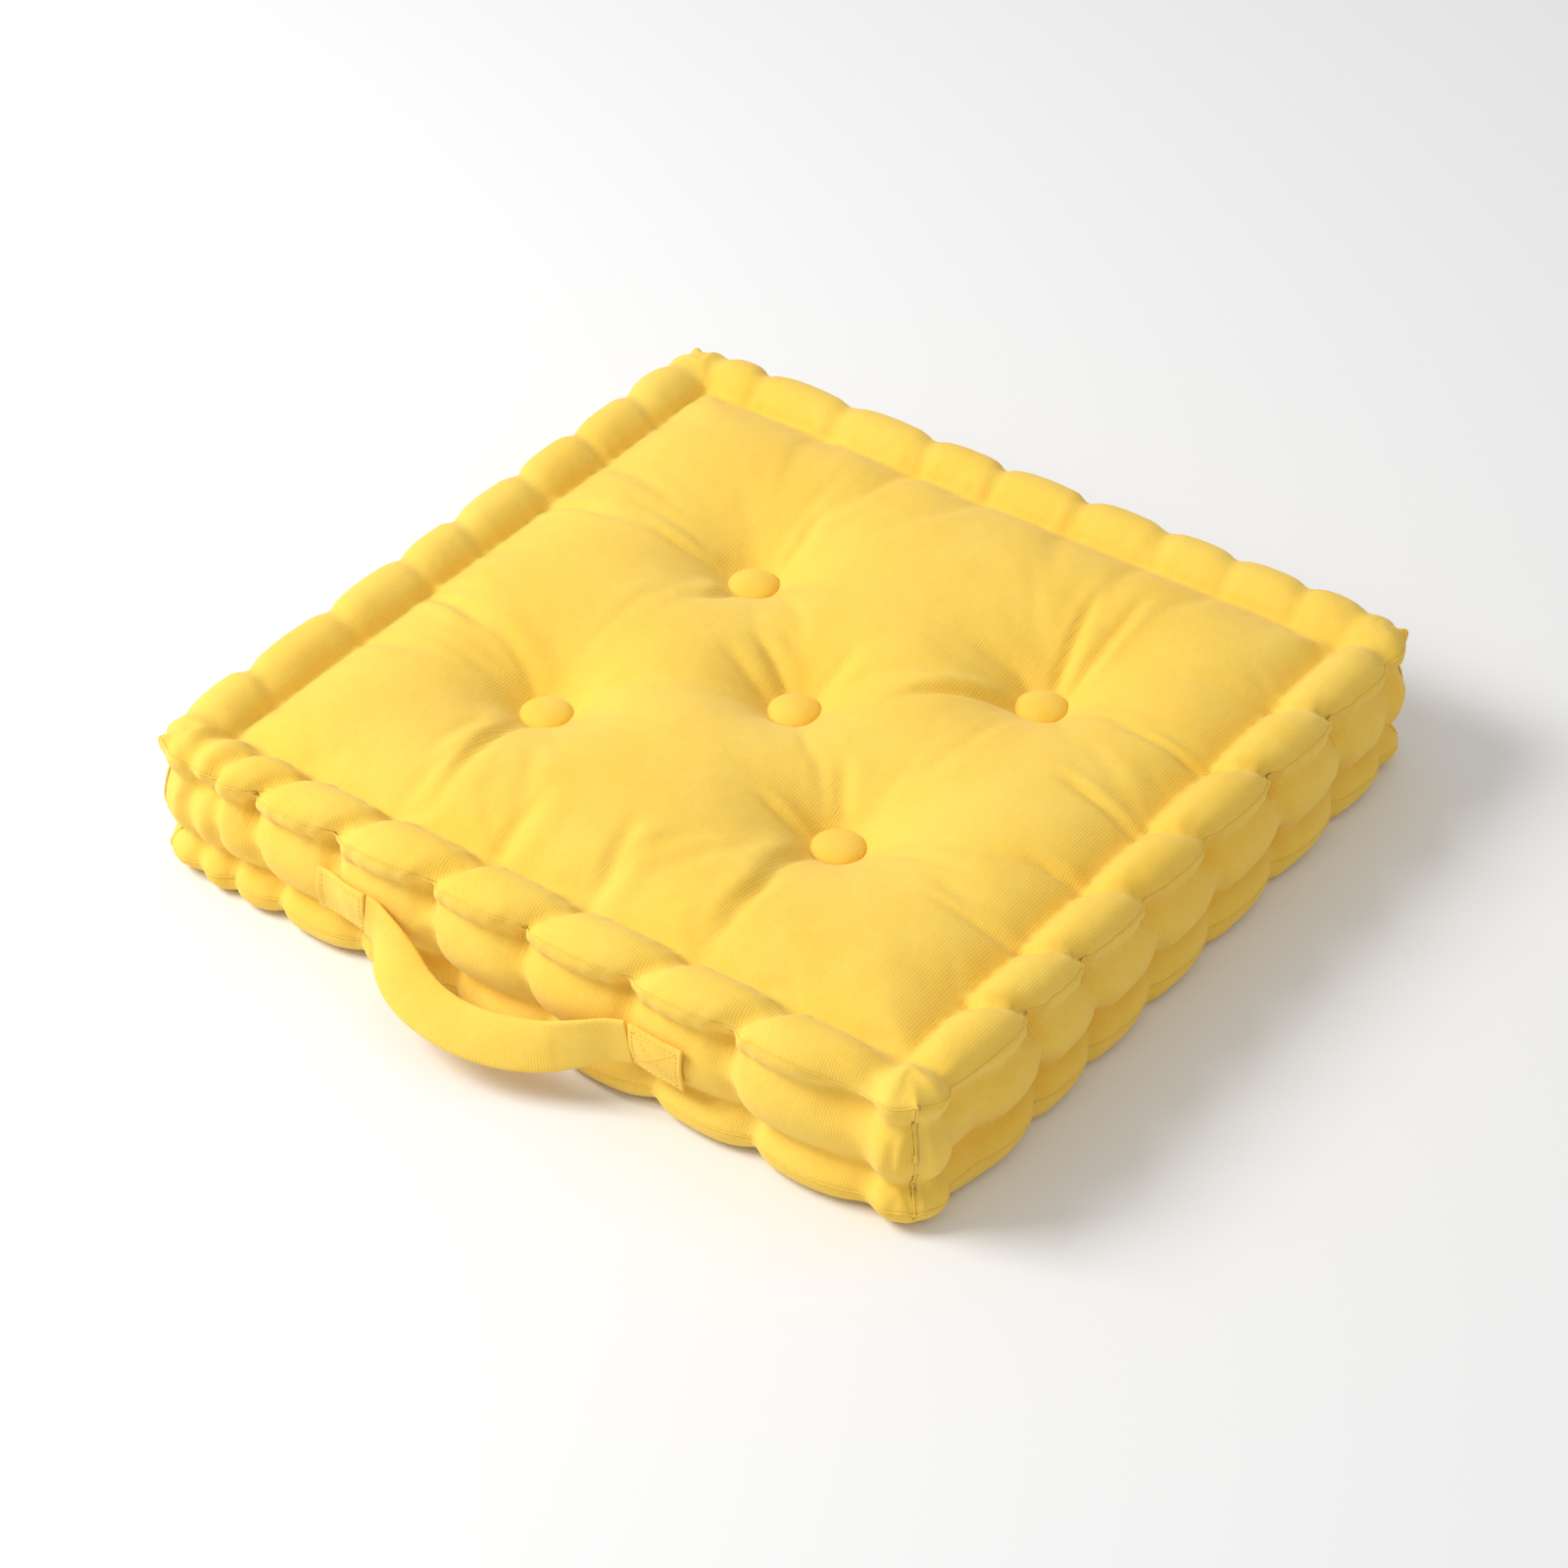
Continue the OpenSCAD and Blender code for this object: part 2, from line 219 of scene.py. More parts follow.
def sewnShape(flat):
    # where the sewing and the filling want each point of the cloth, and how firmly
    cutWidth, cutDepth = cutSize()
    height = cushion["sideCloth"]
    roll = cushion["rollCloth"]
    spare = cushion["clothSpare"]
    x, y, z = flat.T
    onTop = z > height - 1e-6
    onBottom = z < 1e-6
    goal = flat.copy()
    hold = np.zeros(len(flat))
    full = np.array(edgeProfile["full"]).T / 1000
    tight = np.array(edgeProfile["tight"]).T / 1000
    nearX = cutWidth / 2 - np.abs(x)
    nearY = cutDepth / 2 - np.abs(y)
    near = np.minimum(nearX, nearY)
    # middle of the two panels: full between the tufts
    goal[:, 0] = x / spare
    goal[:, 1] = y / spare
    inside = near - roll
    crown = 1 - np.exp(-np.maximum(inside, 0) / seat["crownReach"])
    dome = seat["edgeHeight"] + seat["crown"] * crown
    under = seat["underLift"] * (1 - smoothStep(inside, 0.0, seat["underReach"]))
    for tuftX, tuftY in cushion["tufts"].values():
        reach = np.maximum(np.hypot(goal[:, 0] - tuftX, goal[:, 1] - tuftY) - cushion["tuftRadius"], 0)
        dome -= seat["dip"] * np.exp(-reach / seat["dipReach"])
        under += seat["dip"] * np.exp(-reach / seat["underDipReach"])
    goal[:, 2] = np.where(onTop, dome, np.where(onBottom, under, z))
    hold[(onTop | onBottom) & (inside > 0)] = clothSim["panelHold"]
    # rolls and side strips
    for side in range(4):
        u, v, cutOut, cutHalf, out, half = sideFrame(side, x, y)
        mine = (cutOut + v < roll + 1e-6) & (cutHalf - np.abs(u) > cutOut + v - 1e-6)
        innerHalf = half - cushion["rollWidth"]
        cutInner = innerHalf * spare
        beyond = np.abs(u) - cutInner
        overCorner = innerHalf + beyond * cushion["rollWidth"] / roll
        along = np.where(beyond > 0, overCorner, np.abs(u) / spare) * np.sign(u)
        used = np.where(onBottom, roll + height + cutOut + v, roll + height - z)
        used = np.where(onTop, roll - (cutOut + v), used)
        place = along - creaseShift(side, used, along, innerHalf)
        stops = np.array(stitching["places"][side])
        gap = np.clip(np.searchsorted(stops, place) - 1, 0, len(stops) - 2)
        phase = np.clip((place - stops[gap]) / (stops[gap + 1] - stops[gap]), 0, 1)
        overlap = stitching["overlap"]
        early = phase ** np.interp(used, stitching["overlapPlaces"], [1, overlap, overlap, 1])
        puff = np.sin(math.pi * early) ** stitching["roundness"]
        puff = 1 - (1 - puff) * stitching["puffDepth"][side]
        ends = smoothStep(np.abs(along), innerHalf - 0.004, innerHalf + 0.012)
        puff = puff * (1 - ends) + ends * 0.8
        past, high = (
            np.interp(used, tight[0], tight[row]) * (1 - puff) + np.interp(used, full[0], full[row]) * puff
            for row in (1, 2)
        )
        # mitred corners that end in ears
        room = np.clip(np.minimum(used, full[0][-1] - used), 0.001, roll)
        reach = np.clip(beyond / room, 0, 1)
        ear = smoothStep(reach, 0.55, 1)
        ears = (np.exp(-((used - 0.048) / 0.012) ** 2), np.exp(-((used - 0.136) / 0.012) ** 2))
        past = past - ear * 0.003 * (1 - 0.4 * np.maximum(ears[0], ears[1]))
        high = high + ear * (0.002 * ears[0] - 0.001 * ears[1])
        mitre = (innerHalf + reach * (cushion["rollWidth"] + past)) * np.sign(u)
        along = np.where(beyond > 0, mitre, along)
        spot = np.stack([along, -(out + past), high], axis=1)
        back = math.pi / 2 * side
        spotX = spot[:, 0] * math.cos(back) - spot[:, 1] * math.sin(back)
        spotY = spot[:, 0] * math.sin(back) + spot[:, 1] * math.cos(back)
        goal[mine] = np.stack([spotX, spotY, high], axis=1)[mine]
        nearCorner = smoothStep(np.abs(along), innerHalf - 0.006, innerHalf + 0.022)
        firm = clothSim["edgeHold"] * (1 - 0.18 * nearCorner)
        hold[mine] = firm[mine]
    return goal, hold


def nearestPoint(points, spot):
    return int(np.argmin(((points - np.array(spot)) ** 2).sum(1)))


def holdStitches(flat, goal, hold):
    cutWidth, cutDepth = cutSize()
    height = cushion["sideCloth"]
    spare = cushion["clothSpare"]
    roll = cushion["rollCloth"]
    for tuftX, tuftY in cushion["tufts"].values():
        reach = np.hypot(flat[:, 0] - tuftX * spare, flat[:, 1] - tuftY * spare)
        for level, seat in ((height, cushion["tuftTop"]), (0, cushion["tuftBottom"])):
            on = (np.abs(flat[:, 2] - level) < 1e-6) & (reach < cushion["tuftRadius"])
            goal[on, 0] = tuftX + (flat[on, 0] - tuftX * spare)
            goal[on, 1] = tuftY + (flat[on, 1] - tuftY * spare)
            goal[on, 2] = seat
            hold[on] = 1
    pins = {"top": [], "bottom": []}
    for side in range(4):
        cutOut, ignored, out, half = sideFrame(side, 0, 0)[2:]
        lean, lower = stitching["lean"][side], stitching["lowerLean"][side]
        for place in stitching["places"][side][1:-1]:
            fade = 1 - float(smoothStep(abs(place), half - 0.065, half - 0.030))
            upper = place + lean * fade
            under = place + (lean + lower) * fade
            rows = (
                ("top", (place, -(cutOut - roll), height), (place, -(out - 0.035), 0.077)),
                ("top", (upper, -cutOut, height - 0.019), (upper, -(out - 0.016), 0.065)),
                ("bottom", (under, -cutOut, 0.019), (under, -(out - 0.016), 0.027)),
                ("bottom", (place, -(cutOut - roll), 0), (place, -(out - 0.035), 0.012)),
            )
            for face, cut, target in rows:
                cut = (cut[0] * spare, cut[1], cut[2])
                point = nearestPoint(flat, turnedToSide(side, cut))
                goal[point] = turnedToSide(side, target)
                hold[point] = 1
                pins[face].append((side, point))
    # inner corners, and the ears of the outer ones
    for signX in (-1, 1):
        for signY in (-1, 1):
            for level, ear, inner in corner["heights"]:
                level *= height
                spot = (signX * cutWidth / 2, signY * cutDepth / 2, level)
                point = nearestPoint(flat, spot)
                outX, outY = cushion["width"] / 2 - 0.001, cushion["depth"] / 2 - 0.001
                goal[point] = (signX * outX, signY * outY, ear)
                hold[point] = 1
                spot = (signX * (cutWidth / 2 - roll), signY * (cutDepth / 2 - roll), level)
                point = nearestPoint(flat, spot)
                inX, inY = cushion["width"] / 2 - 0.036, cushion["depth"] / 2 - 0.036
                goal[point] = (signX * inX, signY * inY, inner)
                hold[point] = 1
    return pins


def fillCover(cover):
    # sew the cloth down at its stitches and tufts and blow it up
    flat = readPoints(cover.data)
    goal, hold = sewnShape(flat)
    pins = holdStitches(flat, goal, hold)
    cover.shape_key_add(name="flat")
    sewn = cover.shape_key_add(name="sewn")
    sewn.data.foreach_set("co", goal.astype(np.float32).ravel())
    sewn.value = 0
    sewn.keyframe_insert("value", frame=1)
    sewn.value = 1
    sewn.keyframe_insert("value", frame=clothSim["pullFrames"])
    group = cover.vertex_groups.new(name="held")
    for weight in np.unique(np.round(hold, 3)):
        if weight > 0:
            group.add([int(i) for i in np.flatnonzero(np.round(hold, 3) == weight)], float(weight), "REPLACE")
    cloth = cover.modifiers.new("cloth", "CLOTH")
    values = cloth.settings
    values.quality = clothSim["quality"]
    values.mass = clothSim["mass"]
    values.tension_stiffness = clothSim["tension"]
    values.compression_stiffness = clothSim["compression"]
    values.shear_stiffness = clothSim["shear"]
    values.bending_stiffness = clothSim["bending"]
    values.tension_damping = values.compression_damping = values.shear_damping = clothSim["damping"]
    values.bending_damping = 0.5
    values.air_damping = 1.0
    values.use_pressure = True
    values.uniform_pressure_force = clothSim["pressure"]
    values.vertex_group_mass = "held"
    values.pin_stiffness = 1.0
    values.effector_weights.gravity = 0
    cloth.collision_settings.use_collision = False
    cloth.collision_settings.use_self_collision = False
    cloth.point_cache.frame_start = 1
    cloth.point_cache.frame_end = clothSim["frames"]
    for number in range(1, clothSim["frames"] + 1):
        scene.frame_set(number)
    result = cover.evaluated_get(bpy.context.evaluated_depsgraph_get())
    points = readPoints(result.data)
    return flat, points, goal, pins


def smoothPath(stops, count):
    # even steps along a smooth line through the stops
    keys = np.array(stops)
    t = np.linspace(0, len(keys) - 1, count)
    index = np.clip(t.astype(int), 0, len(keys) - 2)
    f = (t - index)[:, None]
    before, start = keys[np.maximum(index - 1, 0)], keys[index]
    end, after = keys[index + 1], keys[np.minimum(index + 2, len(keys) - 1)]
    return 0.5 * (2 * start + (end - before) * f + (2 * before - 5 * start + 4 * end - after) * f ** 2
                  + (3 * start - before - 3 * end + after) * f ** 3)


def settleOnFloor(points):
    # the underside lies on the floor, with a soft turn where it lifts
    turn = 0.002
    points[:, 2] = 0.5 * (points[:, 2] + np.sqrt(points[:, 2] ** 2 + turn * turn)) - 0.0006
    points[:, 2] = np.maximum(points[:, 2], 0.0002)
    return points


def roundCorners(points):
    # the square corners that the cutting leaves are blunt once they are filled
    centers = np.array([cushion["width"], cushion["depth"]]) / 2 - corner["radius"]
    away = np.abs(points[:, :2]) - centers
    inCorner = (away > 0).all(axis=1)
    reach = np.hypot(away[:, 0], away[:, 1])
    scale = 1 - corner["roundness"] * (1 - away.max(axis=1) / np.maximum(reach, 1e-9))
    moved = (centers + away * scale[:, None]) * np.sign(points[:, :2])
    points[:, :2] = np.where(inCorner[:, None], moved, points[:, :2])
    return points


gather = {
    "depth": 0.0036,           # the crease over a roll at each stitch
    "deepest": 0.0040,
    "width": 0.0040,
    "ridge": 0.34,             # the lip beside it, as a share of the depth
    "fanDepth": 0.0011,        # the small pleats beside a stitch
    "fanStep": 0.0115,
    "fanReach": 0.020,
    # cloth used from the inner stitches, and how strong the crease is there
    "along": [0, 0.006, 0.030, 0.052, 0.067, 0.085, 0.117, 0.136, 0.150, 0.184],
    "strength": [0.5, 0.9, 1.0, 1.0, 1.0, 0.5, 0.8, 0.7, 0.6, 0.1],
    "sides": [1.0, 1.0, 0.38, 0.38],
}


def cutPlaces(mesh):
    # where each point lies on its cut piece, and which piece that is
    pattern = mesh.uv_layers["cut"].data
    places = np.zeros((len(mesh.vertices), 2))
    owner = np.zeros(len(mesh.vertices), int)
    for face in mesh.polygons:
        for loop, vert in zip(face.loop_indices, face.vertices):
            places[vert] = pattern[loop].uv
            owner[vert] = face.material_index
    return places, owner


def pressGathers(mesh):
    # creases over the rolls at the stitches, and the pleats that fan out beside them
    places, owner = cutPlaces(mesh)
    normals = np.zeros(len(mesh.vertices) * 3)
    mesh.vertices.foreach_get("normal", normals)
    depth = np.zeros(len(places))
    height, roll, spare = cushion["sideCloth"], cushion["rollCloth"], cushion["clothSpare"]
    x, y = places[:, 0], np.where(owner == 1, -places[:, 1], places[:, 1])
    for side in range(4):
        u, v, cutOut, cutHalf, ignored, half = sideFrame(side, x, y)
        onPanel = (owner < 2) & (cutOut + v < roll) & (cutHalf - np.abs(u) > cutOut + v)
        onStrip = owner == 2 + side
        used = np.where(owner == 0, roll - (cutOut + v), roll + height + cutOut + v)
        used = np.where(onStrip, roll + height / 2 - places[:, 1], used)
        along = np.where(onStrip, places[:, 0], u) / spare
        place = along - creaseShift(side, used, along, half - cushion["rollWidth"])
        strength = np.interp(used, gather["along"], gather["strength"]) * gather["sides"][side]
        nearPin = np.exp(-(used / 0.016) ** 2) + np.exp(-((used - 0.058) / 0.016) ** 2)
        press = np.zeros(len(places))
        for number, stop in enumerate(stitching["places"][side][1:-1]):
            off = place - stop
            uneven = 1 + 0.25 * math.sin(7.3 * number + 2.1 * side)
            lip = gather["ridge"] * np.exp(-((off - 2.4 * gather["width"]) / (1.8 * gather["width"])) ** 2)
            press += strength * uneven * gather["depth"] * (np.exp(-np.abs(off) / gather["width"]) - lip)
            turns = off / gather["fanStep"] + 0.31 * number
            fan = np.sin(2 * math.pi * turns) * np.exp(-(off / gather["fanReach"]) ** 2)
            press += nearPin * uneven * gather["fanDepth"] * fan * gather["sides"][side]
        depth = np.where(onPanel | onStrip, np.minimum(press, gather["deepest"]), depth)
    points = readPoints(mesh) - normals.reshape(-1, 3) * depth[:, None]
    points[:, 2] = np.maximum(points[:, 2], 0.0004)
    writePoints(mesh, points)


def mixShapes(flat, points, goal):
    # the sewn profile keeps the rolls round, the simulation gives the folds
    ignored, hold = sewnShape(flat)
    edge = hold > clothSim["panelHold"] + 0.01
    share = np.where(edge, clothSim["keepProfile"] * hold / clothSim["edgeHold"], 0)
    panel = np.abs(hold - clothSim["panelHold"]) < 0.01
    share = np.where(panel, clothSim["keepPanel"], share)
    return goal * share[:, None] + points * (1 - share[:, None])


def pressFolds(points, onTop):
    # sharp folds that run over the seat from buttons and stitches: a groove with a soft ridge on one side
    for stops, depth, width in seatFolds:
        line = smoothPath([(*stop, 0) for stop in stops], 25)[:, :2]
        lengths = np.concatenate([[0], np.cumsum(np.linalg.norm(np.diff(line, axis=0), axis=1))])
        best = np.full(len(points), 1.0)
        place = np.zeros(len(points))
        for index in range(len(line) - 1):
            first, way = line[index], line[index + 1] - line[index]
            size = np.linalg.norm(way)
            t = np.clip((points[:, :2] - first) @ way / size ** 2, 0, 1)
            off = points[:, :2] - first - t[:, None] * way
            apart = np.hypot(off[:, 0], off[:, 1])
            side = np.sign(off[:, 0] * way[1] - off[:, 1] * way[0])
            nearer = apart < np.abs(best)
            best = np.where(nearer, apart * np.where(side == 0, 1, side), best)
            place = np.where(nearer, (lengths[index] + t * size) / lengths[-1], place)
        taper = 0.35 + 0.65 * smoothStep(place, 0, 0.15)
        taper = taper * (1 - smoothStep(place, 0.45, 1))
        groove = np.exp(-(best / width) ** 2) - 0.55 * np.exp(-((best - 2.4 * width) / (1.7 * width)) ** 2)
        points[:, 2] -= np.where(onTop, depth * taper * groove, 0)
    return points


# sharp folds on the seat, each a line of places, then its depth and half width
seatFolds = [
    (((0.108, 0.094), (0.101, 0.125), (0.091, 0.172)), 0.0046, 0.0030),
    (((0.117, 0.094), (0.120, 0.130), (0.118, 0.182)), 0.0034, 0.0028),
    (((0.100, 0.070), (0.086, 0.056), (0.064, 0.034), (0.046, 0.006)), 0.0046, 0.0034),
    (((0.100, 0.088), (0.082, 0.092), (0.055, 0.082)), 0.0026, 0.0040),
    (((-0.010, 0.008), (-0.028, 0.018), (-0.050, 0.026)), 0.0036, 0.0032),
    (((-0.014, -0.004), (-0.034, 0.000), (-0.058, 0.006)), 0.0024, 0.0036),
    (((0.004, 0.014), (0.008, 0.030), (0.010, 0.055)), 0.0024, 0.0045),
    (((0.074, -0.090), (0.056, -0.090), (0.034, -0.089)), 0.0034, 0.0028),
    (((0.082, -0.096), (0.086, -0.130), (0.092, -0.160), (0.098, -0.206)), 0.0034, 0.0044),
    (((0.082, -0.068), (0.070, -0.052), (0.056, -0.032)), 0.0024, 0.0040),
    (((-0.104, 0.078), (-0.122, 0.070), (-0.158, 0.064)), 0.0030, 0.0030),
    (((-0.090, 0.066), (-0.086, 0.044), (-0.094, 0.022)), 0.0034, 0.0036),
    (((-0.078, 0.098), (-0.078, 0.120), (-0.082, 0.146)), 0.0024, 0.0040),
    (((-0.120, -0.074), (-0.142, -0.064), (-0.172, -0.056)), 0.0024, 0.0036),
    (((-0.108, -0.098), (-0.101, -0.130), (-0.096, -0.160), (-0.084, -0.212)), 0.0038, 0.0040),
    (((-0.038, -0.210), (-0.040, -0.192), (-0.044, -0.150)), 0.0030, 0.0050),
    (((0.024, -0.210), (0.018, -0.180), (0.006, -0.140)), 0.0030, 0.0050),
    (((0.219, 0.068), (0.196, 0.067), (0.160, 0.067)), 0.0034, 0.0024),
    (((0.220, 0.002), (0.194, 0.004), (0.158, 0.008)), 0.0034, 0.0024),
    (((0.218, -0.050), (0.204, -0.053), (0.184, -0.056)), 0.0028, 0.0026),
    (((0.218, -0.110), (0.194, -0.114), (0.152, -0.112)), 0.0022, 0.0030),
    (((-0.217, 0.058), (-0.194, 0.060), (-0.160, 0.060)), 0.0026, 0.0030),
    (((-0.217, -0.050), (-0.196, -0.055), (-0.160, -0.064)), 0.0028, 0.0034),
    (((-0.126, 0.208), (-0.140, 0.204), (-0.160, 0.200)), 0.0020, 0.0030),
    (((-0.064, 0.210), (-0.074, 0.206), (-0.092, 0.202)), 0.0022, 0.0030),
    (((-0.014, 0.211), (-0.024, 0.208), (-0.044, 0.205)), 0.0020, 0.0030),
]


def coverMesh():
    # simulate, subdivide once, and lay the pattern of the cut over it
    cover = cutCloth()
    flat = readPoints(cover.data)
    flat, points, goal, pins = fillCover(cover)
    points = mixShapes(flat, points, goal)
    cover.modifiers.clear()
    cover.shape_key_clear()
    points = roundCorners(settleOnFloor(points))
    mesh = bmesh.new()
    mesh.from_mesh(cover.data)
    mesh.verts.ensure_lookup_table()
    pattern = mesh.loops.layers.uv.new("cut")
    height = cushion["sideCloth"]
    for face in mesh.faces:
        for loop in face.loops:
            x, y, z = flat[loop.vert.index]
            if face.material_index == 0:
                spot = (x, y)
            elif face.material_index == 1:
                spot = (x, -y)
            else:
                angle = -math.pi / 2 * (face.material_index - 2)
                spot = (x * math.cos(angle) - y * math.sin(angle), z - height / 2)
            loop[pattern].uv = spot
    for vert, spot in zip(mesh.verts, points):
        vert.co = spot
    mesh.to_mesh(cover.data)
    mesh.free()
    smooth = cover.modifiers.new("smooth", "SUBSURF")
    smooth.levels = smooth.render_levels = 1
    depsgraph = bpy.context.evaluated_depsgraph_get()
    fine = bpy.data.meshes.new_from_object(cover.evaluated_get(depsgraph))
    coarse = cover.data.copy()
    bpy.data.objects.remove(cover)
    onTop = np.zeros(len(fine.vertices), bool)
    for face in fine.polygons:
        if face.material_index == 0:
            onTop[list(face.vertices)] = True
    pressGathers(fine)
    pressGathers(coarse)
    writePoints(fine, pressFolds(readPoints(fine), onTop))
    return coarse, fine, readPoints(coarse), pins


def addObject(name, mesh):
    if isinstance(mesh, bmesh.types.BMesh):
        data = bpy.data.meshes.new(name)
        mesh.to_mesh(data)
        mesh.free()
        mesh = data
    mesh.name = name
    piece = bpy.data.objects.new(name, mesh)
    scene.collection.objects.link(piece)
    for face in mesh.polygons:
        face.use_smooth = True
    return piece


def finishPiece(piece, material, replaced, body="cushion"):
    piece.data.materials.clear()
    piece.data.materials.append(material)
    for face in piece.data.polygons:
        face.material_index = 0
    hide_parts(*replaced)
    if body:
        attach(piece, body)
    return piece


def coverPiece(fine, index, name):
    # one cut piece with its seam edge turned in
    mesh = bmesh.new()
    mesh.from_mesh(fine)
    mesh.normal_update()
    inward = {}
    origin = mesh.verts.layers.int.new("origin")
    for vert in mesh.verts:
        vert[origin] = vert.index
        inward[vert.index] = -vert.normal
    others = [face for face in mesh.faces if face.material_index != index]
    bmesh.ops.delete(mesh, geom=others, context="FACES")
    bmesh.ops.inset_region(
        mesh, faces=mesh.faces[:], thickness=seam["turnIn"], use_boundary=True, use_even_offset=True)
    for vert in mesh.verts:
        if vert.is_boundary:
            vert.co += inward[vert[origin]] * seam["depth"]
            vert.co.z = max(vert.co.z, 0.0004)
    piece = addObject(name, mesh)
    wall = piece.modifiers.new("cloth thickness", "SOLIDIFY")
    wall.thickness = cushion["thickness"]
    wall.offset = -1
    return piece


seam = {
    "turnIn": 0.0010,
    "depth": 0.0004,
    "threadRadius": 0.0005,
    "threadDepth": 0.0002,
}


def seamPaths(fine):
    # the seam lines of the cover, walked from point to point
    mesh = bmesh.new()
    mesh.from_mesh(fine)
    mesh.normal_update()
    groups = {"top": [], "bottom": [], "corner": []}
    for edge in mesh.edges:
        kinds = sorted({face.material_index for face in edge.link_faces})
        if len(kinds) == 2:
            name = "top" if kinds[0] == 0 else "bottom" if kinds[0] == 1 else "corner"
            groups[name].append(edge)
    paths = {}
    for name, edges in groups.items():
        left = set(edges)
        paths[name] = []
        while left:
            ends = {}
            for edge in left:
                for vert in edge.verts:
                    ends[vert] = ends.get(vert, 0) + 1
            start = min(left, key=lambda edge: (min(ends[vert] for vert in edge.verts), edge.index))
            vert = min(start.verts, key=lambda vert: (ends[vert], vert.index))
            line = [vert]
            edge = start
            while edge:
                left.discard(edge)
                vert = edge.other_vert(vert)
                line.append(vert)
                nextEdges = [other for other in vert.link_edges if other in left]
                edge = nextEdges[0] if nextEdges else None
            paths[name].append([vert.co - vert.normal * seam["threadDepth"] for vert in line])
    mesh.free()
    return paths


def threadPiece(name, paths, radius):
    # round thread along each path, as one mesh
    curve = bpy.data.curves.new(name, "CURVE")
    curve.dimensions = "3D"
    curve.bevel_depth = radius
    curve.bevel_resolution = 1
    curve.use_fill_caps = True
    for path in paths:
        line = curve.splines.new("POLY")
        line.points.add(len(path) - 1)
        for point, spot in zip(line.points, path):
            point.co = (*spot, 1)
    holder = bpy.data.objects.new(name, curve)
    scene.collection.objects.link(holder)
    depsgraph = bpy.context.evaluated_depsgraph_get()
    mesh = bpy.data.meshes.new_from_object(holder.evaluated_get(depsgraph))
    bpy.data.objects.remove(holder)
    bpy.data.curves.remove(curve)
    return addObject(name, mesh)


def stitchPaths(points, normals, pins):
    # each stitch: a bar on the seat or underside, and a bar on the side
    rows = {"top": [], "bottom": []}
    half = stitching["barLength"] / 2
    for face, found in pins.items():
        for first, second in zip(found[::2], found[1::2]):
            along = turnedToSide(first[0], (1, 0, 0)) * half
            path = []
            for turn, (side, index) in ((1, first), (-1, second)):
                spot = Vector(points[index])
                lift = Vector(normals[index])
                path += [
                    spot - along * turn - lift * 0.0025,
                    spot - along * turn * 0.8 + lift * 0.0002,
                    spot + lift * 0.0006,
                    spot + along * turn * 0.8 + lift * 0.0002,
                    spot + along * turn - lift * 0.0025,
                ]
            for point in path:
                point.z = max(point.z, stitching["threadRadius"])
            rows[face].append(path + [path[0]])
    return rows


button = {
    "radius": 0.015,
    "gathers": 15,
    "gatherDepth": 0.00018,
    # distance from the middle and height over the seat, millimetres, outside then inside
    "profile": [
        (0, 8.0), (2.5, 7.9), (5, 7.6), (7.5, 7.05), (9.8, 6.25), (11.8, 5.3), (13.3, 4.3), (14.4, 3.3),
        (14.95, 2.3), (14.95, 1.4), (14.6, 0.6), (13.9, 0.1), (13.0, 0.05), (12.4, 0.3), (12.5, 1.0),
        (13.4, 1.04), (13.97, 1.5), (13.97, 2.5), (13.3, 3.5), (12.2, 4.4), (10.6, 5.2), (8.6, 5.95),
        (6, 6.5), (3, 6.88), (0, 6.98),
    ],
}


def buttonPiece(name, place, seat, face, turn):
    mesh = bmesh.new()
    verts = [mesh.verts.new((r / 1000, 0, z / 1000)) for r, z in button["profile"]]
    edges = [mesh.edges.new(pair) for pair in zip(verts, verts[1:])]
    bmesh.ops.spin(
        mesh, geom=verts + edges, axis=(0, 0, 1), cent=(0, 0, 0), steps=60, angle=2 * math.pi, use_merge=True)
    bmesh.ops.remove_doubles(mesh, verts=mesh.verts, dist=1e-6)
    for vert in mesh.verts:
        radius = math.hypot(vert.co.x, vert.co.y)
        if radius > 0.0139 and vert.co.z < 0.0045:
            angle = math.atan2(vert.co.y, vert.co.x)
            fold = math.sin(angle * button["gathers"] + turn * 7) * (1 - vert.co.z / 0.0045)
            size = 1 - button["gatherDepth"] * (0.5 + 0.5 * fold) / radius
            vert.co.x *= size
            vert.co.y *= size
    bmesh.ops.recalc_face_normals(mesh, faces=mesh.faces)
    pattern = mesh.loops.layers.uv.new("cut")
    for piece in mesh.faces:
        for loop in piece.loops:
            x, y, z = loop.vert.co
            slope = 1 + max(0, (0.003 - z)) * 40
            across = x * slope * math.cos(turn) - y * slope * math.sin(turn)
            loop[pattern].uv = (across, x * slope * math.sin(turn) + y * slope * math.cos(turn))
    flip = 1 if face == "top" else -1
    bmesh.ops.transform(mesh, matrix=Matrix.Diagonal((1, flip, flip, 1)), verts=mesh.verts)
    bmesh.ops.translate(mesh, vec=(*place, seat + 0.0001 * flip), verts=mesh.verts)
    piece = addObject(name, mesh)
    smooth = piece.modifiers.new("smooth", "SUBSURF")
    smooth.levels = smooth.render_levels = 1
    return piece


